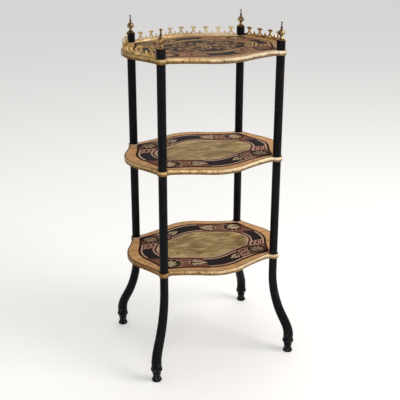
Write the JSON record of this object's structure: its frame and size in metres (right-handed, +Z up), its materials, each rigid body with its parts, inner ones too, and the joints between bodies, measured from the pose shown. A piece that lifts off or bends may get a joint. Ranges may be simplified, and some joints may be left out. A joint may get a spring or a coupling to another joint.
{
  "type": "three-tier table",
  "caption": "Tiered side table with serpentine marquetry shelves on turned posts, curved legs, a pierced gallery round the top shelf and turned finials.",
  "frame": {"origin": "on the floor, under the middle of the table", "axes": "+Z up, +X along the tiers to the right seen from the open front of the gallery, which faces -Y"},
  "size_m": [0.391, 0.314, 0.8337],
  "materials": {
    "ebonised_wood": "ebonised, polished and worn",
    "carcase_wood": "plain planed wood",
    "crossbanding_veneer": "waxed cross-grained veneer",
    "pale_string": "waxed pale string",
    "mahogany_veneer": "waxed veneer",
    "ebony_veneer": "waxed dark veneer",
    "medallion_veneer": "waxed pale veneer on dark",
    "burr_veneer": "waxed burr veneer",
    "brass": "old gilt brass, tarnished"
  },
  "bodies": {
    "root": {"bottom_tier_board": "carcase_wood", "bottom_tier_crossbanding": "crossbanding_veneer", "bottom_tier_outer_string": "pale_string", "bottom_tier_border_panels": "mahogany_veneer", "bottom_tier_dark_blocks": "ebony_veneer", "bottom_tier_corner_medallions": "medallion_veneer", "bottom_tier_inner_string": "pale_string", "bottom_tier_centre_field": "burr_veneer", "bottom_tier_brass_strip": "brass", "middle_tier_board": "carcase_wood", "middle_tier_crossbanding": "crossbanding_veneer", "middle_tier_outer_string": "pale_string", "middle_tier_border_panels": "mahogany_veneer", "middle_tier_dark_blocks": "ebony_veneer", "middle_tier_corner_medallions": "medallion_veneer", "middle_tier_inner_string": "pale_string", "middle_tier_centre_field": "burr_veneer", "middle_tier_brass_strip": "brass", "top_tier_board": "carcase_wood", "top_tier_crossbanding": "crossbanding_veneer", "top_tier_outer_string": "pale_string", "top_tier_border_panels": "mahogany_veneer", "top_tier_dark_blocks": "ebony_veneer", "top_tier_corner_medallions": "medallion_veneer", "top_tier_inner_string": "pale_string", "top_tier_centre_field": "ebony_veneer", "top_tier_brass_strip": "brass", "leg_front_left": "ebonised_wood", "lower_post_front_left": "ebonised_wood", "upper_post_front_left": "ebonised_wood", "gallery_post_front_left": "ebonised_wood", "finial_front_left": "brass", "leg_front_right": "ebonised_wood", "lower_post_front_right": "ebonised_wood", "upper_post_front_right": "ebonised_wood", "gallery_post_front_right": "ebonised_wood", "finial_front_right": "brass", "leg_back_left": "ebonised_wood", "lower_post_back_left": "ebonised_wood", "upper_post_back_left": "ebonised_wood", "gallery_post_back_left": "ebonised_wood", "finial_back_left": "brass", "leg_back_right": "ebonised_wood", "lower_post_back_right": "ebonised_wood", "upper_post_back_right": "ebonised_wood", "gallery_post_back_right": "ebonised_wood", "finial_back_right": "brass", "gallery_back": "brass", "gallery_left": "brass", "gallery_right": "brass"}
  },
  "joints": []
}
